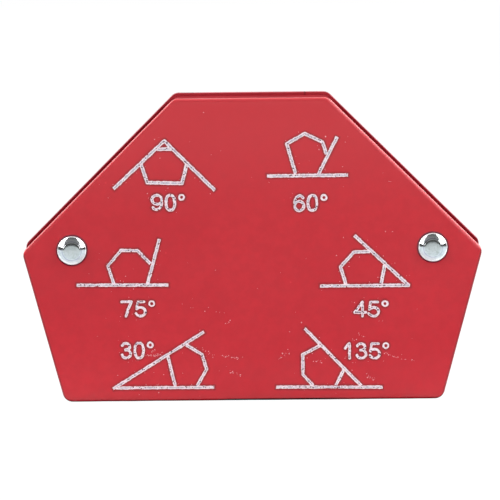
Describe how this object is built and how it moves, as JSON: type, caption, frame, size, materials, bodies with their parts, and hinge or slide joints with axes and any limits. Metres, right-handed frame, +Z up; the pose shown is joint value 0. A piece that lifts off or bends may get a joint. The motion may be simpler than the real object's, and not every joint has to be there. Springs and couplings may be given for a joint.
{
  "type": "welding magnet holder",
  "caption": "Hexagonal magnetic holder with riveted red steel plates and printed angle marks, for setting steel workpieces at common angles while welding.",
  "frame": {"origin": "middle of the bottom working edge, half way through the thickness", "axes": "+Z up to the top edge, +X to the right seen from the printed side, the printed plate faces -Y"},
  "size_m": [0.112, 0.0175, 0.0746],
  "materials": {
    "plate_enamel": "satin",
    "band_enamel": "satin",
    "ferrite": "matte",
    "epoxy": "gloss",
    "carrier_nylon": "matte",
    "bush_steel": "satin",
    "rivet_zinc": "polished",
    "print_ink": "satin"
  },
  "bodies": {
    "root": {"front_plate": "plate_enamel", "rear_plate": "plate_enamel", "edge_band": "band_enamel", "upper_magnet": "ferrite", "lower_left_magnet": "ferrite", "lower_right_magnet": "ferrite", "epoxy_bond_layers": "epoxy", "magnet_carrier": "carrier_nylon", "left_bush": "bush_steel", "right_bush": "bush_steel", "left_rivet": "rivet_zinc", "right_rivet": "rivet_zinc"}
  },
  "joints": []
}
